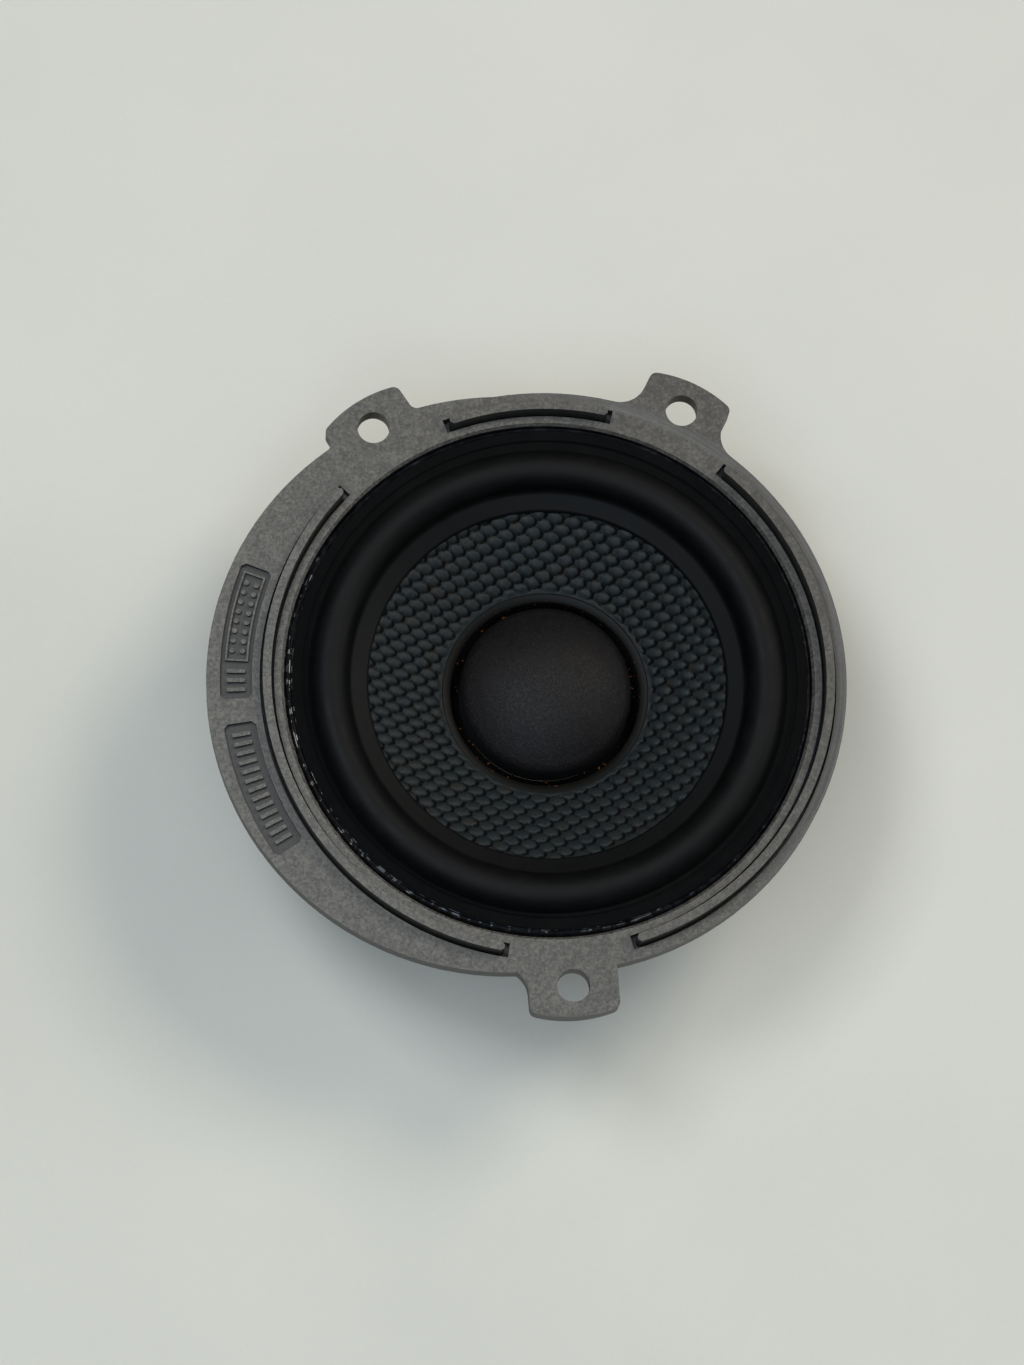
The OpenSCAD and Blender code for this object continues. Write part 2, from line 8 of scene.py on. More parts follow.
import bmesh
import bpy
import numpy as np
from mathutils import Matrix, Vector


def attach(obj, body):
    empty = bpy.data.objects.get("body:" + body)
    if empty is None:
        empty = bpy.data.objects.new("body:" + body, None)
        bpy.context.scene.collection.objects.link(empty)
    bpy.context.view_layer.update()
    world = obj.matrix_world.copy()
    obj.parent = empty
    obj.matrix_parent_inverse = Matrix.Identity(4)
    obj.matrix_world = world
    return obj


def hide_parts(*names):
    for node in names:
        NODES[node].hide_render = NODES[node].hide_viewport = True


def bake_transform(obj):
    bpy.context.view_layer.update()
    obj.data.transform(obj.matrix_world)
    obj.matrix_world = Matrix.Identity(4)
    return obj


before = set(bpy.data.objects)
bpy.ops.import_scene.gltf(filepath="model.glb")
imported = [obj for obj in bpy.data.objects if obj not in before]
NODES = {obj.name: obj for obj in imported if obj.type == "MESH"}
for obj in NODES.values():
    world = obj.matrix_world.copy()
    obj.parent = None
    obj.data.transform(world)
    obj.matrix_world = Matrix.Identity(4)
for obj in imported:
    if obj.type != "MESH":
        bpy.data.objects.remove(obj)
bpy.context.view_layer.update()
FIXED, MOVING = "frame_assembly", "cone_assembly"
MM = 0.001
TAU = 2 * math.pi

# ---------------------------------------------------------------- sizes shared with the CAD frame

FACE_Z, FLANGE_Z, LEDGE_Z = 35.0, 31.8, 33.3
FLANGE_R, CHANNEL_OUT_R = 45.75, 44.15
RIM_R, RIM_SHIFT = 39.45, 0.3
ROLL_R, ROLL_MID_R, RUBBER_T = 2.7, 33.6, 0.5
ROLL_Z = LEDGE_Z + 0.35
LIP_R = 27.5
CONE_IN_R, CONE_R, CONE_SLOPE, CONE_T = 15.9, 31.3, 0.45, 0.6
NECK_Z, COLLAR_IN_R = 25.9, 14.6
CAP_R, CAP_RISE, CAP_SHOULDER_Z, CAP_T = 13.25, 4.3, 27.5, 0.45


def cone_front(r):
    """Height of the cone's front face."""
    return NECK_Z + CONE_SLOPE * (r - CONE_IN_R)


# ---------------------------------------------------------------- camera and lights

CAMERA_PLACE = (-57.5, -183.3, 727.1)
CAMERA_TURN_DEG = (15.040, -3.125, -4.350)
CAMERA_LENS = 123.96
LAMP_TARGET = (0, 0, 20)
WORLD_COLOUR = (0.96, 0.98, 1.0, 1)
WORLD_LIGHTING, WORLD_BACKDROP = 0.11, 0.55


def make_camera():
    """A long lens almost straight above the driver."""
    data = bpy.data.cameras.new("camera")
    data.lens = CAMERA_LENS
    data.sensor_width = 36
    data.clip_start, data.clip_end = 0.01, 20
    cam = bpy.data.objects.new("camera", data)
    cam.location = [v * MM for v in CAMERA_PLACE]
    cam.rotation_euler = [math.radians(v) for v in CAMERA_TURN_DEG]
    bpy.context.scene.collection.objects.link(cam)
    bpy.context.scene.camera = cam


def make_light(name, place, size, watts, colour):
    """A rectangular lamp aimed at the driver."""
    data = bpy.data.lights.new(name, "AREA")
    data.shape = "RECTANGLE"
    data.size, data.size_y = size[0] * MM, size[1] * MM
    data.energy = watts
    data.color = colour
    light = bpy.data.objects.new(name, data)
    light.location = [v * MM for v in place]
    aim = Vector(LAMP_TARGET) - Vector(place)
    light.rotation_euler = aim.to_track_quat("-Z", "Y").to_euler()
    bpy.context.scene.collection.objects.link(light)


def make_world():
    """Faint even light. The backdrop that a camera sees past the floor is brighter than that light."""
    world = bpy.data.worlds.new("studio")
    world.use_nodes = True
    nodes, links = world.node_tree.nodes, world.node_tree.links
    backdrop = nodes["Background"]
    backdrop.inputs["Color"].default_value = WORLD_COLOUR
    path = nodes.new("ShaderNodeLightPath")
    strength = nodes.new("ShaderNodeMapRange")
    strength.inputs["To Min"].default_value = WORLD_LIGHTING
    strength.inputs["To Max"].default_value = WORLD_BACKDROP
    links.new(path.outputs["Is Camera Ray"], strength.inputs["Value"])
    links.new(strength.outputs["Result"], backdrop.inputs["Strength"])
    bpy.context.scene.world = world


# ---------------------------------------------------------------- materials


class Look:
    """One procedural material. Texture space is the piece's own, in millimetres."""

    def __init__(self, name, **sockets):
        self.mat = bpy.data.materials.new(name)
        self.mat.use_nodes = True
        self.tree = self.mat.node_tree
        self.bsdf = self.tree.nodes["Principled BSDF"]
        for key, value in sockets.items():
            self.bsdf.inputs[key.replace("_", " ")].default_value = value
        self.where = self.add("ShaderNodeTexCoord")
        to_mm = {0: self.where.outputs["Object"], "Scale": 1 / MM}
        self.mm = self.add("ShaderNodeVectorMath", to_mm, operation="SCALE").outputs[0]

    def add(self, kind, inputs=None, **props):
        node = self.tree.nodes.new(kind)
        for key, value in props.items():
            setattr(node, key, value)
        for key, value in (inputs or {}).items():
            self.plug(node.inputs[key], value)
        return node

    def plug(self, socket, value):
        if isinstance(value, bpy.types.NodeSocket):
            self.tree.links.new(value, socket)
        else:
            socket.default_value = value

    def set(self, **sockets):
        for key, value in sockets.items():
            self.plug(self.bsdf.inputs[key.replace("_", " ")], value)

    def math(self, operation, a, b=0.0):
        return self.add("ShaderNodeMath", {0: a, 1: b}, operation=operation).outputs[0]

    def parts(self):
        """x, y and z in millimetres."""
        node = self.add("ShaderNodeSeparateXYZ", {0: self.mm})
        return node.outputs[0], node.outputs[1], node.outputs[2]

    def polar(self):
        """Radius in millimetres, angle in radians and height."""
        x, y, z = self.parts()
        squares = self.math("ADD", self.math("MULTIPLY", x, x), self.math("MULTIPLY", y, y))
        radius = self.math("SQRT", squares)
        return radius, self.math("ARCTAN2", y, x), z

    def combine(self, x, y, z):
        return self.add("ShaderNodeCombineXYZ", {0: x, 1: y, 2: z}).outputs[0]

    def noise(self, per_mm, detail, roughness, where=None):
        inputs = {
            "Vector": self.mm if where is None else where,
            "Scale": per_mm,
            "Detail": detail,
            "Roughness": roughness,
        }
        return self.add("ShaderNodeTexNoise", inputs).outputs[0]

    def ramp(self, value, *stops):
        """stops are (position, brightness or colour)."""
        node = self.add("ShaderNodeValToRGB", {0: value})
        elements = node.color_ramp.elements
        while len(elements) < len(stops):
            elements.new(0.5)
        for element, (position, colour) in zip(elements, stops):
            element.position = position
            element.color = (colour,) * 3 + (1,) if isinstance(colour, (int, float)) else (*colour, 1)
        return node.outputs[0]

    def span(self, value, low, high, to_low=0.0, to_high=1.0):
        """value from low..high to to_low..to_high, clamped."""
        inputs = {"Value": value, "From Min": low, "From Max": high, "To Min": to_low, "To Max": to_high}
        return self.add("ShaderNodeMapRange", inputs, clamp=True).outputs[0]

    def mix(self, share, under, over):
        """Colour under, with share of the plain colour or socket over."""
        node = self.add("ShaderNodeMix", {0: share, 6: under}, data_type="RGBA", clamp_factor=True)
        self.plug(node.inputs[7], (*over, 1) if isinstance(over, tuple) else over)
        return node.outputs[2]

    def bump(self, height, depth_mm, strength, normal=None):
        inputs = {"Height": height, "Distance": depth_mm * MM, "Strength": strength}
        if normal is not None:
            inputs["Normal"] = normal
        return self.add("ShaderNodeBump", inputs).outputs[0]


def moulded_grey():
    """Glass-filled grey plastic, mottled, with flow streaks along the right-hand rim.

    Painted light makes it lighter towards the lower left, and painted shade darkens it in recesses and on the
    walls.
    """
    look = Look("moulded_grey", Specular_IOR_Level=0.6)
    blotch = look.noise(0.45, 5, 0.65)
    grain = look.noise(2.1, 5, 0.75)
    speck = look.noise(9.0, 2, 0.5)
    tone = look.math("ADD", look.math("MULTIPLY", blotch, 0.3), look.math("MULTIPLY", grain, 0.7))
    colour = look.ramp(
        tone, (0.38, (0.018, 0.0155, 0.0125)), (0.5, (0.051, 0.045, 0.037)), (0.62, (0.118, 0.107, 0.09))
    )
    radius, angle, z = look.polar()
    flow = look.combine(look.math("MULTIPLY", radius, 7.0), look.math("MULTIPLY", angle, 1.3), z)
    rings = look.noise(1.0, 4, 0.65, flow)
    streak = look.ramp(rings, (0.38, (0.02, 0.018, 0.016)), (0.62, (0.15, 0.146, 0.138)))
    past_channel = look.span(radius, CHANNEL_OUT_R - 0.25, CHANNEL_OUT_R + 0.15)
    before_ears = look.span(radius, FLANGE_R + 0.45, FLANGE_R + 0.15)
    on_rim = look.math("MULTIPLY", past_channel, before_ears)
    x, y, _ = look.parts()
    rightward = look.math("ADD", x, look.math("MULTIPLY", y, 0.35))
    right = look.span(rightward, 12.0, 26.0)
    # painted light: a lighter tone mixed in towards the lower left, stronger the further that way
    painted_lower_left_light = look.ramp(grain, (0.4, (0.06, 0.055, 0.048)), (0.62, (0.22, 0.205, 0.18)))
    colour = look.mix(look.span(rightward, 45.0, -40.0, 0.0, 0.46), colour, painted_lower_left_light)
    face = look.span(z, FACE_Z - 0.6, FACE_Z - 0.1)
    share = look.math("MULTIPLY", look.math("MULTIPLY", on_rim, right), look.math("MULTIPLY", face, 0.6))
    colour = look.mix(share, colour, streak)
    # painted shade: side walls, and surfaces sunk below the face, are mixed towards near black
    facing_up = look.add("ShaderNodeSeparateXYZ", {0: look.where.outputs["Normal"]}).outputs[2]
    wall = look.span(facing_up, 0.85, 0.3)
    under_face = look.span(z, FACE_Z - 0.25, FACE_Z - 0.7)
    recess_shade = look.math("MULTIPLY", under_face, look.span(z, FLANGE_Z + 0.2, FLANGE_Z + 0.8))
    edge = look.math("MULTIPLY", wall, look.span(z, FLANGE_Z - 0.6, FLANGE_Z + 0.1, 0.1, 0.6))
    shade = look.math("MAXIMUM", edge, look.math("MULTIPLY", recess_shade, 0.75))
    colour = look.mix(shade, colour, (0.008, 0.0078, 0.007))
    look.set(Base_Color=colour, Roughness=look.span(grain, 0.3, 0.7, 0.42, 0.62))
    fine = look.bump(look.math("ADD", grain, look.math("MULTIPLY", speck, 0.5)), 0.035, 0.7)
    look.set(Normal=look.bump(rings, 0.03, look.math("MULTIPLY", share, 0.8), fine))
    return look.mat


def rubber():
    """Matte moulded rubber with a faint bloom and dust, fully matt past the roll."""
    look = Look("surround_rubber", Specular_IOR_Level=0.15)
    cloud = look.noise(0.25, 4, 0.6)
    grain = look.noise(6.0, 4, 0.6)
    dust = look.ramp(look.noise(4.5, 2, 0.5), (0.66, 0.0), (0.76, 1.0))
    colour = look.ramp(cloud, (0.3, (0.0016, 0.0017, 0.0018)), (0.7, (0.0032, 0.0032, 0.0033)))
    colour = look.mix(look.math("MULTIPLY", dust, 0.12), colour, (0.06, 0.06, 0.06))
    radius, _, _ = look.polar()
    roll_end = ROLL_MID_R + ROLL_R
    matt_rim = look.span(radius, roll_end - 0.3, roll_end + 0.7, 0.5, 1.0)
    dull = look.math("MAXIMUM", look.span(cloud, 0.3, 0.7, 0.5, 0.6), matt_rim)
    look.set(Base_Color=colour, Roughness=dull)
    look.set(Normal=look.bump(grain, 0.012, 0.6))
    return look.mat


def woven():
    """Coated woven fibre. The weave is in the mesh, and its lift attribute darkens the gaps with painted
    shade.
    """
    look = Look("woven_cone", Specular_IOR_Level=0.18)
    tint = look.noise(0.5, 2, 0.5)
    lift = look.add("ShaderNodeAttribute", attribute_name="lift").outputs["Fac"]
    fibre = look.noise(5.0, 4, 0.65)
    colour = look.ramp(
        tint, (0.3, (0.0105, 0.015, 0.0167)), (0.5, (0.0144, 0.0184, 0.0198)), (0.7, (0.0178, 0.0178, 0.0152))
    )
    colour = look.mix(look.span(fibre, 0.45, 0.75, 0.0, 0.3), colour, (0.03, 0.034, 0.035))
    # painted shade: the lower the relief, the nearer the colour goes to black
    colour = look.mix(look.span(lift, 0.7, 0.15), colour, (0.0005, 0.0006, 0.0007))
    dull = look.math("MAXIMUM", look.span(fibre, 0.3, 0.7, 0.4, 0.56), look.span(lift, 0.7, 0.25, 0.4, 1.0))
    look.set(Base_Color=colour, Roughness=dull, Normal=look.bump(fibre, 0.03, 0.6))
    return look.mat


def collar_plastic():
    """Satin grey ring, with small amber flecks of adhesive round its throat, and painted shade taking it
    nearly black below the neck's rim.
    """
    look = Look("collar_plastic", Specular_IOR_Level=0.13)
    grain = look.noise(5.0, 4, 0.6)
    radius, _, z = look.polar()
    fleck = look.ramp(look.noise(1.6, 2, 0.4), (0.68, 0.0), (0.72, 1.0))
    # painted shade: below the neck's rim the ring turns nearly black and fully rough
    throat_shade = look.span(z, NECK_Z - 0.15, NECK_Z - 0.7)
    inside = look.span(radius, COLLAR_IN_R + 0.5, COLLAR_IN_R + 0.1)
    low = look.math("MULTIPLY", inside, look.span(z, NECK_Z - 0.3, NECK_Z - 0.9))
    colour = look.ramp(grain, (0.3, (0.004, 0.0038, 0.0034)), (0.7, (0.0095, 0.0088, 0.0076)))
    colour = look.mix(throat_shade, colour, (0.0012, 0.0011, 0.001))
    colour = look.mix(look.math("MULTIPLY", fleck, low), colour, (0.3, 0.09, 0.02))
    dull = look.math("MAXIMUM", look.span(grain, 0.3, 0.7, 0.38, 0.56), throat_shade)
    look.set(Base_Color=colour, Roughness=dull, Normal=look.bump(grain, 0.03, 0.6))
    return look.mat


def cap_cloth():
    """Fine doped cloth of the dust cap, made nearly black down its skirt by painted shade."""
    look = Look("cap_fabric", Specular_IOR_Level=0.2)
    x, y, z = look.parts()
    pitch = 0.42
    threads = look.math(
        "MULTIPLY",
        look.math("SINE", look.math("MULTIPLY", x, TAU / pitch)),
        look.math("SINE", look.math("MULTIPLY", y, TAU / pitch)),
    )
    cloud = look.noise(0.3, 4, 0.6)
    speck = look.ramp(look.noise(3.6, 3, 0.6), (0.52, 0.0), (0.74, 1.0))
    colour = look.ramp(cloud, (0.3, (0.0032, 0.0026, 0.003)), (0.7, (0.0055, 0.0046, 0.0048)))
    colour = look.mix(look.math("MULTIPLY", speck, 0.6), colour, (0.032, 0.027, 0.027))
    # painted shade: the skirt below the shoulder is mixed to nearly black and made fully rough
    skirt = look.span(z, CAP_SHOULDER_Z + 0.4, CAP_SHOULDER_Z - 0.4)
    colour = look.mix(skirt, colour, (0.0008, 0.0007, 0.0007))
    lint = look.noise(2.2, 5, 0.8)
    look.set(Base_Color=colour)
    look.set(Roughness=look.math("MAXIMUM", look.span(lint, 0.4, 0.6, 0.62, 0.36), skirt))
    coarse = look.bump(look.noise(1.6, 5, 0.75), 0.12, 0.7)
    look.set(Normal=look.bump(threads, 0.02, 0.5, coarse))
    return look.mat


def black_adhesive():
    """Black glue with a clear coat in patches, weighted towards the lower left, where the bead is widest, so
    that glints show there: painted highlights.
    """
    look = Look("black_adhesive", Specular_IOR_Level=0.05, Coat_Roughness=0.08)
    wave = look.noise(0.8, 3, 0.5)
    look.set(Base_Color=look.ramp(wave, (0.3, (0.0015, 0.0015, 0.002)), (0.7, (0.003, 0.0033, 0.0045))))
    x, y, _ = look.parts()
    # painted highlights: the coat, and so its glints, is weighted towards the lower left
    glint_side = look.span(look.math("ADD", x, y), 30.0, -30.0, 0.1, 1.0)
    glint = look.math("MULTIPLY", look.span(wave, 0.53, 0.58, 0.0, 0.9), glint_side)
    look.set(Roughness=look.span(wave, 0.35, 0.65, 0.3, 0.5), Coat_Weight=glint)
    look.set(Normal=look.bump(wave, 0.12, 0.5))
    return look.mat


def foam():
    """Open-pored black foam."""
    look = Look("gasket_foam", Specular_IOR_Level=0.2)
    pores = look.add("ShaderNodeTexVoronoi", {"Vector": look.mm, "Scale": 2.6}).outputs["Distance"]
    look.set(Base_Color=look.ramp(pores, (0.1, (0.006, 0.006, 0.006)), (0.6, (0.03, 0.03, 0.031))))
    look.set(Roughness=look.span(pores, 0.0, 0.6, 0.95, 0.8), Normal=look.bump(pores, 0.12, 0.8))
    return look.mat


def coated_steel():
    """Black electrocoat over pressed steel, with faint turning marks."""
    look = Look("motor_steel", Specular_IOR_Level=0.55, Metallic=0.35)
    peel = look.noise(1.4, 3, 0.5)
    wear = look.ramp(look.noise(0.5, 5, 0.7), (0.62, 0.0), (0.75, 1.0))
    radius, angle, z = look.polar()
    round_axis = look.combine(look.math("MULTIPLY", radius, 3.5), angle, look.math("MULTIPLY", z, 3.5))
    turned = look.noise(1.0, 3, 0.5, round_axis)
    colour = look.ramp(peel, (0.3, (0.026, 0.027, 0.029)), (0.7, (0.042, 0.043, 0.046)))
    colour = look.mix(look.math("MULTIPLY", wear, 0.25), colour, (0.12, 0.12, 0.12))
    look.set(Base_Color=colour, Roughness=look.span(peel, 0.3, 0.7, 0.3, 0.42))
    look.set(Normal=look.bump(turned, 0.02, 0.4, look.bump(peel, 0.04, 0.5)))
    return look.mat


def metal(name, dark, light, roughness):
    """Bare or plated metal with a fine uneven finish."""
    look = Look(name, Metallic=1.0)
    grain = look.noise(2.0, 4, 0.6)
    look.set(Base_Color=look.ramp(grain, (0.3, dark), (0.7, light)))
    look.set(Roughness=look.span(grain, 0.3, 0.7, roughness * 0.8, roughness * 1.25))
    look.set(Normal=look.bump(grain, 0.02, 0.5))
    return look.mat


def moulded_black():
    """Black connector plastic, finely textured."""
    look = Look("connector_plastic", Specular_IOR_Level=0.45)
    grain = look.noise(4.0, 4, 0.6)
    cloud = look.noise(0.4, 3, 0.5)
    look.set(Base_Color=look.ramp(cloud, (0.3, (0.010, 0.010, 0.011)), (0.7, (0.019, 0.019, 0.020))))
    look.set(Roughness=look.span(grain, 0.3, 0.7, 0.35, 0.5), Normal=look.bump(grain, 0.02, 0.6))
    return look.mat


def resin_cloth():
    """Tan phenolic cloth of the spider: an open square weave."""
    look = Look("spider_cloth", Specular_IOR_Level=0.35)
    x, y, _ = look.parts()
    pitch = 0.9
    u = look.math("SINE", look.math("MULTIPLY", x, TAU / pitch))
    v = look.math("SINE", look.math("MULTIPLY", y, TAU / pitch))
    threads = look.math("MAXIMUM", look.math("ABSOLUTE", u), look.math("ABSOLUTE", v))
    cloud = look.noise(0.3, 4, 0.6)
    colour = look.ramp(cloud, (0.3, (0.23, 0.135, 0.04)), (0.7, (0.36, 0.23, 0.085)))
    colour = look.mix(look.span(threads, 0.75, 0.3, 0.0, 0.75), colour, (0.06, 0.03, 0.01))
    look.set(Base_Color=colour, Roughness=look.span(cloud, 0.3, 0.7, 0.55, 0.75))
    look.set(Normal=look.bump(threads, 0.12, 0.8))
    return look.mat


def amber_film():
    """Glossy amber film of the coil former."""
    look = Look("former_film", Specular_IOR_Level=0.6, Coat_Weight=0.4, Coat_Roughness=0.1)
    cloud = look.noise(0.5, 3, 0.5)
    look.set(Base_Color=look.ramp(cloud, (0.3, (0.28, 0.11, 0.015)), (0.7, (0.42, 0.19, 0.03))))
    look.set(Roughness=look.span(cloud, 0.3, 0.7, 0.2, 0.32))
    return look.mat


def kraft_paper():
    """Brown paper of the sleeve round the former."""
    look = Look("sleeve_paper", Specular_IOR_Level=0.25)
    fibre = look.noise(2.5, 5, 0.7)
    look.set(Base_Color=look.ramp(fibre, (0.3, (0.38, 0.28, 0.14)), (0.7, (0.56, 0.45, 0.27))))
    look.set(Roughness=look.span(fibre, 0.3, 0.7, 0.75, 0.9), Normal=look.bump(fibre, 0.04, 0.6))
    return look.mat


def pale_paper():
    """The sheet that the driver lies on."""
    look = Look("pale_paper", Specular_IOR_Level=0.3)
    cloud = look.noise(0.012, 4, 0.6)
    tooth = look.noise(1.1, 5, 0.7)
    colour = look.ramp(cloud, (0.3, (0.685, 0.668, 0.6)), (0.7, (0.735, 0.713, 0.636)))
    colour = look.mix(look.span(tooth, 0.35, 0.65, 0.0, 0.05), colour, (0.5, 0.5, 0.48))
    look.set(Base_Color=colour, Roughness=look.span(tooth, 0.3, 0.7, 0.8, 0.95))
    look.set(Normal=look.bump(tooth, 0.04, 0.5))
    return look.mat


# ---------------------------------------------------------------- mesh helpers


def build(name, points, faces, material):
    """A smooth-shaded mesh object from millimetre points."""
    mesh = bpy.data.meshes.new(name)
    mesh.from_pydata((np.asarray(points, float) * MM).tolist(), [], [[int(v) for v in f] for f in faces])
    mesh.polygons.foreach_set("use_smooth", np.ones(len(mesh.polygons), bool))
    mesh.materials.append(material)
    mesh.update()
    obj = bpy.data.objects.new(name, mesh)
    bpy.context.scene.collection.objects.link(obj)
    return obj


def grid_faces(rows, steps, closed=True):
    """Quads over a grid of rows by steps that closes round the steps, and round the rows if closed."""
    i = np.arange(rows if closed else rows - 1)[:, None]
    j = np.arange(steps)[None, :]
    up, on = (i + 1) % rows, (j + 1) % steps
    return np.stack([i * steps + j, i * steps + on, up * steps + on, up * steps + j], -1).reshape(-1, 4)


def ring(name, radii, heights, material, centre_shift=None):
    """A closed ring from arrays of radius and height, rows by steps, with outward normals."""
    radii, heights = np.broadcast_arrays(radii, heights)
    steps = radii.shape[1]
    turn = np.arange(steps) * (TAU / steps)
    points = np.stack([radii * np.cos(turn), radii * np.sin(turn), heights], -1)
    if centre_shift is not None:
        points[..., :2] += centre_shift(radii)[..., None]
    faces = grid_faces(len(radii), steps)
    r, z = radii[:, 0], heights[:, 0]
    if np.sum(r * np.roll(z, -1) - np.roll(r, -1) * z) < 0:
        faces = faces[:, ::-1]
    return build(name, points.reshape(-1, 3), faces, material)


def lathe(name, outline, steps, material, centre_shift=None):
    """A ring turned from one closed outline of (radius, height)."""
    outline = np.array(outline, float)
    radii = np.repeat(outline[:, :1], steps, 1)
    heights = np.repeat(outline[:, 1:2], steps, 1)
    return ring(name, radii, heights, material, centre_shift)


def close_apex(obj):
    """Merges the points that a lathed outline leaves on the axis."""
    near_m = 1e-7
    work = bmesh.new()
    work.from_mesh(obj.data)
    on_axis = [v for v in work.verts if v.co.xy.length < near_m]
    bmesh.ops.remove_doubles(work, verts=on_axis, dist=near_m)
    bmesh.ops.delete(work, geom=[e for e in work.edges if not e.link_faces], context="EDGES")
    work.to_mesh(obj.data)
    work.free()


def soften(corners, count=6):
    """A closed outline of (radius, height, rounding) with each corner rounded off."""
    at = np.array([c[:2] for c in corners], float)
    out = []
    for k, corner in enumerate(corners):
        here, before, after = at[k], at[k - 1] - at[k], at[(k + 1) % len(at)] - at[k]
        room_a, room_b = np.linalg.norm(before), np.linalg.norm(after)
        reach = min(corner[2], 0.45 * room_a, 0.45 * room_b)
        if reach <= 0:
            out.append(here)
            continue
        a, b = here + before / room_a * reach, here + after / room_b * reach
        for t in np.linspace(0, 1, count):
            out.append((1 - t) ** 2 * a + 2 * t * (1 - t) * here + t * t * b)
    return np.array(out)


def smoothstep(value, low, high):
    """0 below low, 1 above high, and a smooth curve between."""
    t = np.clip((value - low) / (high - low), 0, 1)
    return t * t * (3 - 2 * t)


def wander(x, y, scale, seed):
    """A slow smooth variation from -1 to 1."""
    rng = np.random.default_rng(seed)
    total = 0.0
    for _ in range(6):
        heading, phase, pace = rng.uniform(0, TAU), rng.uniform(0, TAU), rng.uniform(0.6, 1.5)
        total = total + np.sin((x * math.cos(heading) + y * math.sin(heading)) * TAU * pace / scale + phase)
    return total / 3.5


def cross_joint(obj):
    """Bakes obj's placement into its mesh and reads its points.
    """
    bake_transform(obj)
    at = np.empty(len(obj.data.vertices) * 3)
    obj.data.vertices.foreach_get("co", at)


SAME_FACE_DEG, EDGE_DEG = 0.4, 28


def dress(node, material):
    """Gives a CAD node its material."""
    obj = NODES[node]
    obj.data.materials.clear()
    obj.data.materials.append(material)
    return obj


def dress_and_bevel(node, width, material):
    """Gives a CAD node its material, and softens its edges by width with modifiers.

    Faces closer than SAME_FACE_DEG count as one face, and corners sharper than EDGE_DEG are softened.
    """
    obj = dress(node, material)
    weld = obj.modifiers.new("weld", "WELD")
    weld.merge_threshold = 1e-6
    flat = obj.modifiers.new("flat", "DECIMATE")
    flat.decimate_type = "DISSOLVE"
    flat.angle_limit = math.radians(SAME_FACE_DEG)
    bevel = obj.modifiers.new("bevel", "BEVEL")
    bevel.width = width * MM
    bevel.segments = 2
    bevel.limit_method = "ANGLE"
    bevel.angle_limit = math.radians(EDGE_DEG)
    bevel.use_clamp_overlap = True
    normals = obj.modifiers.new("normals", "WEIGHTED_NORMAL")
    normals.keep_sharp = False
    for polygon in obj.data.polygons:
        polygon.use_smooth = True


# ---------------------------------------------------------------- pieces


def make_surround(material):
    """Rubber rim, half roll and lip, from the glue bead to the cone."""
    outer, inner = ROLL_R + RUBBER_T / 2, ROLL_R - RUBBER_T / 2

    def arc(radius, start, stop, count):
        return [
            (ROLL_MID_R + radius * math.cos(a), ROLL_Z + radius * math.sin(a), 0)
            for a in np.radians(np.linspace(start, stop, count))
        ]

    rim_z, step_z, ridge_z = LEDGE_Z + 0.9, LEDGE_Z + 0.42, LEDGE_Z + 0.72
    lip_t, film = 0.53, 0.02
    corners = [
        (RIM_R, LEDGE_Z, 0.1),
        (RIM_R, rim_z, 0.16),
        (37.98, rim_z, 0.18),
        (37.88, step_z, 0.1),
        (37.55, step_z, 0.12),
        (37.38, ridge_z, 0.15),
        (36.8, ridge_z, 0.22),
        (36.56, step_z, 0.1),
        *arc(outer, 6, 174, 44),
        (30.5, ROLL_Z - 0.35, 0.25),
        (30.15, cone_front(30.15) + lip_t, 0.25),
        (27.75, cone_front(27.75) + lip_t, 0.18),
        (27.52, cone_front(LIP_R) + 0.3, 0.1),
        (LIP_R, cone_front(LIP_R) + film, 0),
        (30.8, cone_front(30.8) + film, 0),
        *arc(inner, 180, 0, 28),
        (36.1, LEDGE_Z, 0),
    ]
    outline = soften(corners)

    def off_centre(r):
        """How far along x, and as far along y, the rim sits off the axis."""
        return RIM_SHIFT * smoothstep(r, 36.7, 37.8)

    obj = lathe("surround_roll", outline, 480, material, off_centre)
    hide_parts("surround")
    cross_joint(obj)


THREAD = 1.39
WEAVE_TURN = math.radians(73.5)
PAD_LONG, PAD_WIDE, PAD_TURN = 1.03, 0.77, math.radians(-6)
PAD_H, PIT_D, PIT_SIDE = 0.2, 0.34, math.radians(-28)


def weave(x, y):
    """Relief of a plain weave in mm: plump oval pads, with a pit under one end of each."""
    u = (x * math.cos(WEAVE_TURN) + y * math.sin(WEAVE_TURN)) / THREAD + 0.08 * wander(x, y, 14.0, 3)
    v = (y * math.cos(WEAVE_TURN) - x * math.sin(WEAVE_TURN)) / THREAD + 0.08 * wander(x, y, 14.0, 4)
    s, t = (u + v) / 2, (u - v) / 2
    s, t = s - np.round(s), t - np.round(t)
    nearest, side, rough = np.full(x.shape, 9.0), np.zeros(x.shape), 0.1 * wander(x, y, 1.0, 6)
    for ds in (-1, 0, 1):
        for dt in (-1, 0, 1):
            a, b = (s + ds + t + dt) * THREAD, (s + ds - t - dt) * THREAD
            long = b * math.cos(PAD_TURN) + a * math.sin(PAD_TURN)
            wide = a * math.cos(PAD_TURN) - b * math.sin(PAD_TURN)
            away = np.hypot(long / PAD_LONG, wide / PAD_WIDE) + rough
            heading = np.arctan2(b, a) + WEAVE_TURN - PIT_SIDE
            closer = away < nearest
            nearest = np.where(closer, away, nearest)
            side = np.where(closer, 0.5 + 0.5 * np.cos(heading), side)
    pad = PAD_H * (1 - np.clip(nearest, 0, 1) ** 2.6) * (1 + 0.2 * wander(x, y, 3.1, 5))
    return pad - PIT_D * smoothstep(nearest, 0.8, 1.06) * (0.1 + 0.9 * side**1.5)


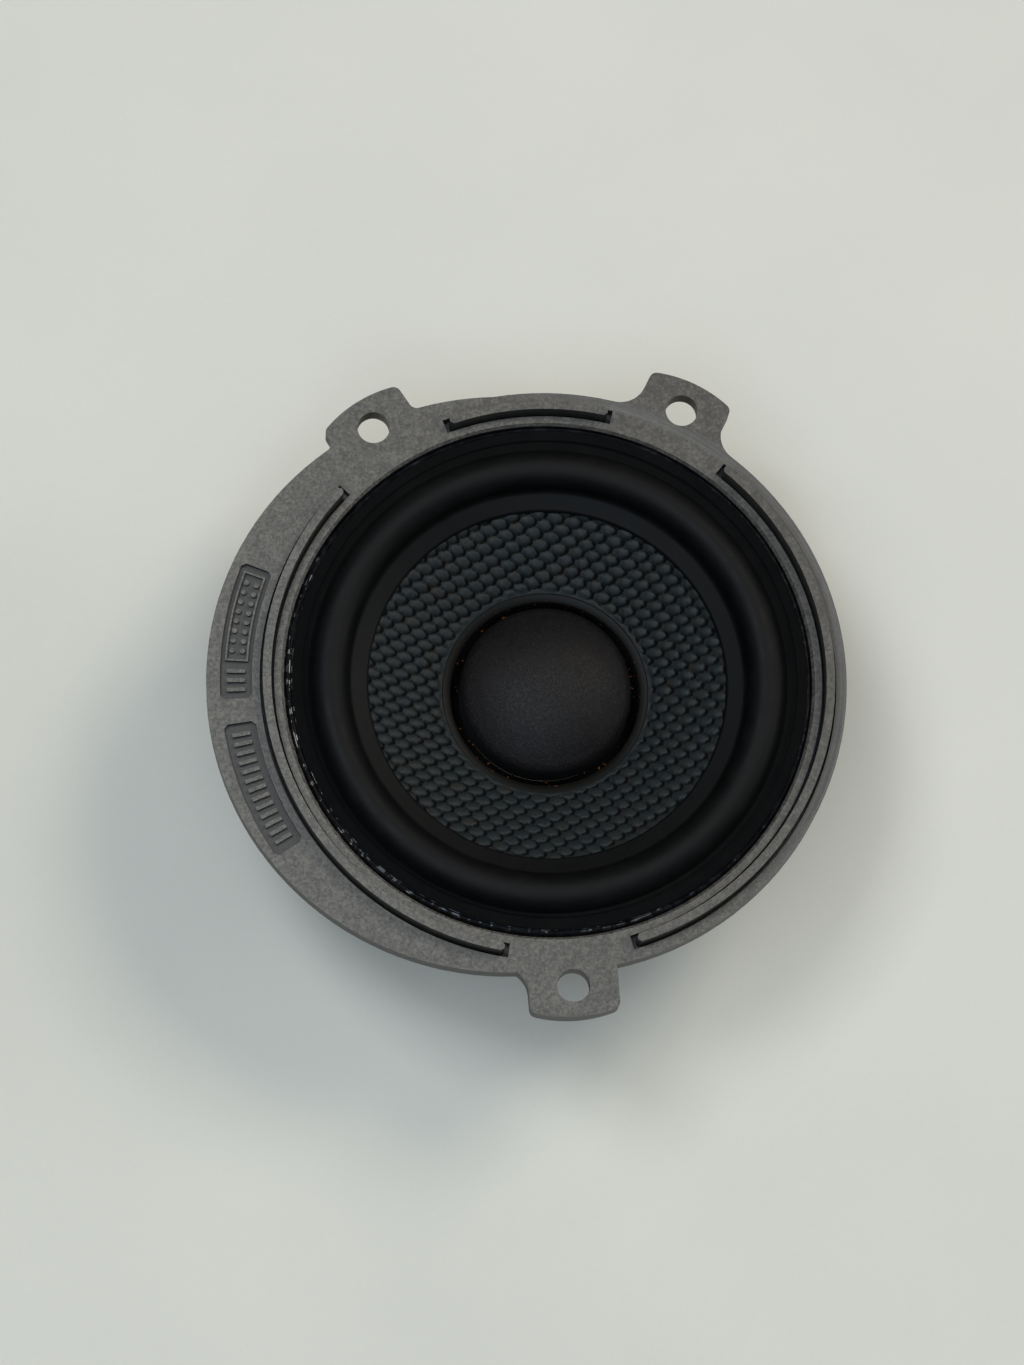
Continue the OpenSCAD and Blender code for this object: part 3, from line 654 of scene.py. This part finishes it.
def make_cone(material):
    """The cone, with the weave standing on its front between the collar and the rubber lip."""
    steps = 900
    woven_r = LIP_R + 0.6
    front = np.concatenate([np.linspace(CONE_IN_R, woven_r, 82), np.linspace(woven_r + 0.6, CONE_R, 4)])
    back = np.linspace(CONE_R, CONE_IN_R, 22)
    turn = np.arange(steps) * (TAU / steps)
    radii = np.concatenate([front, back])[:, None] + np.zeros(steps)
    relief = weave(radii * np.cos(turn), radii * np.sin(turn))
    relief *= smoothstep(radii, CONE_IN_R + 0.2, CONE_IN_R + 1.0)
    relief *= smoothstep(-radii, -woven_r, 0.5 - woven_r)
    is_back = (np.arange(len(radii)) >= len(front))[:, None]
    heights = cone_front(radii) + np.where(is_back, -CONE_T - 0.3 * relief, relief)
    obj = ring("cone_weave", radii, heights, material)
    # lift is the relief height, from 0 in the deepest pits to 1 on the highest pads; woven() paints shade
    # into the gaps from it
    lift = obj.data.attributes.new("lift", "FLOAT", "POINT")
    lift.data.foreach_set("value", ((relief + PIT_D) / (PAD_H + PIT_D)).astype(np.float32).ravel())
    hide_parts("cone")
    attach(obj, MOVING)


def make_collar(material):
    """Plastic ring that joins the cone's neck to the coil former."""
    foot_in_r, wall_out, lap_r = 13.13, 15.15, 16.8
    foot_z, foot_top_z, lip_z = 21.2, 22.0, NECK_Z - CONE_T
    outline = soften(
        [
            (foot_in_r, foot_z, 0.1),
            (wall_out, foot_z, 0.2),
            (wall_out, lip_z - 0.6, 0.3),
            (lap_r, lip_z - 0.2, 0.15),
            (lap_r, cone_front(lap_r) - CONE_T - 0.03, 0.05),
            (CONE_IN_R - 0.03, lip_z - 0.03, 0.03),
            (CONE_IN_R - 0.03, NECK_Z - 0.06, 0.08),
            (15.2, NECK_Z - 0.3, 0.3),
            (COLLAR_IN_R + 0.02, NECK_Z - 0.6, 0.25),
            (COLLAR_IN_R, foot_top_z, 0.2),
            (foot_in_r, foot_top_z, 0.1),
        ]
    )
    obj = lathe("neck_ring", outline, 360, material)
    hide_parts("neck_collar")
    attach(obj, MOVING)


def make_cap(material):
    """Dust cap: a shallow dome on a straight skirt."""
    skirt_z, skirt_in_r = 22.6, 12.8
    curve_r = (CAP_R**2 + CAP_RISE**2) / (2 * CAP_RISE)
    base_z = CAP_SHOULDER_Z + CAP_RISE - curve_r
    edge = math.asin(CAP_R / curve_r)

    def dome(radius, start, stop, count):
        angles = np.linspace(start, stop, count)
        return [(radius * math.sin(a), base_z + radius * math.cos(a), 0) for a in angles]

    corners = [
        (CAP_R, skirt_z, 0.1),
        (CAP_R, CAP_SHOULDER_Z - 0.25, 1.3),
        *dome(curve_r, edge * 0.92, 0, 40),
        *dome(curve_r - CAP_T, 0, edge * 0.94, 24),
        (skirt_in_r, CAP_SHOULDER_Z - 0.7, 0.2),
        (skirt_in_r, skirt_z, 0.1),
    ]
    obj = lathe("cap_dome", soften(corners, 8), 360, material)
    close_apex(obj)
    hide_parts("dust_cap")
    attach(obj, MOVING)


def make_glue(material):
    """Hand-run bead with a hollow surface, wider where the rim sits off centre."""
    steps, outer_r, mid_r, film = 900, 40.48, 40, 0.02
    turn = np.arange(steps) * (TAU / steps)
    inner = RIM_R + film + RIM_SHIFT * (np.cos(turn) + np.sin(turn))
    outer = np.full(steps, outer_r)
    share = np.linspace(0, 1, 13)[:, None]
    x, y = mid_r * np.cos(turn), mid_r * np.sin(turn)
    wave = 0.09 * wander(x, y, 9.0, 11) + 0.05 * wander(x, y, 3.0, 12)
    radii = inner + (outer - inner) * share
    width = outer - inner
    hollow = 0.28 * width * np.sin(np.pi * share)
    heights = LEDGE_Z + 0.8 + 0.33 * share - hollow + wave * np.sin(np.pi * share**0.8)
    foot = np.full(steps, LEDGE_Z + film)
    heights = np.vstack([foot, heights, foot])
    radii = np.vstack([inner, radii, outer])
    obj = ring("glue_run", radii[::-1], heights[::-1], material)
    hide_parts("glue_bead")
    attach(obj, FIXED)


def make_spider(material):
    """Corrugated cloth disc that centres the coil."""
    in_r, wave_in, wave_out, out_r = 13.13, 14.6, 26.2, 29.8
    mid_z, amp, half, waves = 18.575, 0.6, 0.175, 5
    r = np.linspace(wave_in, wave_out, 121)
    centre = np.stack([r, mid_z + amp * np.sin(TAU * waves * (r - wave_in) / (wave_out - wave_in))], -1)
    slope = np.gradient(centre[:, 1], centre[:, 0])
    normal = np.stack([-slope, np.ones_like(slope)], -1) / np.sqrt(1 + slope**2)[:, None]
    top, bottom = centre + half * normal, centre - half * normal
    outline = np.vstack(
        [
            [[in_r, mid_z - half], [wave_in - 0.3, mid_z - half]],
            bottom[4:-4],
            [[wave_out + 0.3, mid_z - half], [out_r, mid_z - half]],
            [[out_r, mid_z + half], [wave_out + 0.3, mid_z + half]],
            top[-5:3:-1],
            [[wave_in - 0.3, mid_z + half], [in_r + 0.45, mid_z + half + 0.05]],
            [[in_r + 0.35, mid_z + half + 0.9], [in_r, mid_z + half + 0.9]],
        ]
    )
    obj = lathe("spider_cloth", outline, 360, material)
    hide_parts("spider")
    cross_joint(obj)


def make_winding(material):
    """Voice coil. Each turn of its wire shows as a ridge."""
    in_r, z0, length, turns = 12.78, 8.0, 7.0, 28
    wire = length / turns / 2
    out_r = 13.35 - wire
    outline = [(in_r, z0)]
    for k in range(turns):
        centre = z0 + wire * (2 * k + 1)
        for a in np.linspace(-1.35, 1.35, 6):
            outline.append((out_r + wire * math.cos(a), centre + wire * math.sin(a)))
    outline.append((in_r, z0 + length))
    obj = lathe("coil_winding", outline, 240, material)
    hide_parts("voice_coil")
    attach(obj, MOVING)


LEAD_ROUTE = [
    (-13.9, 2.2, 20.5),
    (-15.6, 2.4, 20.7),
    (-17.8, 2.7, 21.5),
    (-20.2, 3.0, 22.8),
    (-22.8, 3.2, 24.0),
    (-25.2, 3.3, 24.5),
    (-27.0, 3.3, 24.6),
    (-28.0, 3.3, 24.7),
]


def smooth_path(points, per_span):
    """Catmull-Rom points through a route."""
    p = np.array(points, float)
    p = np.vstack([2 * p[0] - p[1], p, 2 * p[-1] - p[-2]])
    out = []
    for a, b, c, d in zip(p, p[1:], p[2:], p[3:]):
        for t in np.arange(per_span) / per_span:
            bend = (2 * a - 5 * b + 4 * c - d) * t**2 + (3 * b - a - 3 * c + d) * t**3
            out.append(0.5 * (2 * b + (c - a) * t + bend))
    return np.array([*out, p[-2]])


def make_lead(name, node, side, material):
    """Tinsel lead: six strands laid round each other."""
    path = smooth_path([(x, side * y, z) for x, y, z in LEAD_ROUTE], 10)
    ahead = np.gradient(path, axis=0)
    ahead /= np.linalg.norm(ahead, axis=1)[:, None]
    across = np.cross(ahead, (0, 1, 0))
    across /= np.linalg.norm(across, axis=1)[:, None]
    up = np.cross(ahead, across)
    run = np.concatenate([[0], np.cumsum(np.linalg.norm(np.diff(path, axis=0), axis=1))])
    strands, lay_r, strand_r, sides, lay_length = 6, 0.25, 0.145, 8, 3.2
    points, faces = [], []
    for k in range(strands):
        angle = TAU * (k / strands + run / lay_length)
        core = path + lay_r * (np.cos(angle)[:, None] * across + np.sin(angle)[:, None] * up)
        around = TAU * np.arange(sides) / sides
        tube = core[:, None] + strand_r * (
            np.cos(around)[None, :, None] * across[:, None] + np.sin(around)[None, :, None] * up[:, None]
        )
        base = sum(len(p) for p in points)
        points.append(tube.reshape(-1, 3))
        faces += [base + f for f in grid_faces(len(path), sides, closed=False)]
        faces += [base + np.arange(sides), base + (len(path) - 1) * sides + np.arange(sides)[::-1]]
    obj = build(name, np.vstack(points), faces, material)
    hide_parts(node)
    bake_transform(obj)


def make_blobs(name, node, places, radii, body, material):
    """Small solder joints, each a slightly uneven drop."""
    rows, steps = 18, 24
    lat = np.linspace(0.02, math.pi - 0.02, rows)[:, None]
    lon = np.arange(steps) * (TAU / steps)
    points, faces = [], []
    for k, place in enumerate(places):
        ball = np.stack(
            [np.sin(lat) * np.cos(lon), np.sin(lat) * np.sin(lon), np.cos(lat) * np.ones(steps)], -1
        ).reshape(-1, 3)
        lump = 1 - 0.06 * (1 + wander(ball[:, 0] + ball[:, 2], ball[:, 1], 1.6, 20 + k))
        base = sum(len(p) for p in points)
        points.append(ball * lump[:, None] * radii + place)
        quads = grid_faces(rows, steps, closed=False)[:, ::-1]
        faces += [base + f for f in quads]
        faces += [base + np.arange(steps), base + (rows - 1) * steps + np.arange(steps)[::-1]]
    obj = build(name, np.vstack(points), faces, material)
    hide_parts(node)
    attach(obj, body)


# ---------------------------------------------------------------- assembly

make_camera()

floor = build(
    "floor_paper",
    [(-2500, -2500, -0.05), (2500, -2500, -0.05), (2500, 2500, -0.05), (-2500, 2500, -0.05)],
    [(0, 1, 2, 3)],
    pale_paper(),
)

grey = moulded_grey()
black = moulded_black()
copper = metal("copper_wire", (0.42, 0.13, 0.05), (0.62, 0.22, 0.09), 0.3)
tin = metal("tin_plate", (0.5, 0.49, 0.45), (0.66, 0.65, 0.6), 0.25)
solder = metal("solder", (0.42, 0.43, 0.44), (0.6, 0.61, 0.62), 0.22)

dress_and_bevel("basket", 0.16, grey)
dress_and_bevel("terminal_housing", 0.15, black)
dress_and_bevel("terminal_positive", 0.08, tin)
dress_and_bevel("terminal_negative", 0.08, tin)
dress_and_bevel("magnet_cup", 0.25, coated_steel())
dress_and_bevel("rear_gasket", 0.15, foam())
dress("magnet_disc", metal("magnet", (0.36, 0.37, 0.38), (0.46, 0.47, 0.48), 0.3))
dress("pole_plate", metal("pole_steel", (0.26, 0.27, 0.28), (0.34, 0.35, 0.36), 0.35))
dress("coil_former", amber_film())
dress("former_sleeve", kraft_paper())
dress("coil_tail_positive", copper)
dress("coil_tail_negative", copper)

make_surround(rubber())
make_cone(woven())
make_collar(collar_plastic())
make_cap(cap_cloth())
make_glue(black_adhesive())
make_spider(resin_cloth())
make_winding(copper)
tinsel = metal("tinsel_braid", (0.38, 0.2, 0.09), (0.6, 0.36, 0.18), 0.4)
make_lead("lead_positive", "tinsel_lead_positive", 1, tinsel)
make_lead("lead_negative", "tinsel_lead_negative", -1, tinsel)
coil_places = [(-13.1, side * 2.2, 20.5) for side in (1, -1)]
terminal_places = [(-28.3, side * 3.3, 24.7) for side in (1, -1)]
make_blobs("coil_joints", "coil_solder", coil_places, (0.5, 0.5, 0.5), MOVING, solder)
make_blobs("terminal_joints", "terminal_solder", terminal_places, (0.3, 0.72, 0.72), FIXED, solder)

# ---------------------------------------------------------------- light

make_light("lamp_right", (620, 440, 1000), (420, 420), 4.8, (1.0, 0.93, 0.8))
make_light("lamp_left", (-420, 290, 1150), (380, 380), 4.4, (0.9, 0.95, 1.0))
make_light("ceiling", (-260, -380, 1680), (1300, 1200), 10.4, (0.84, 0.93, 1.0))
make_light("sky", (-180, -560, 1250), (420, 420), 1.6, (0.35, 0.66, 1.0))
make_light("window", (1500, 100, 620), (700, 700), 5.0, (0.9, 0.95, 1.0))
make_world()
bpy.context.scene.view_settings.view_transform = "Standard"
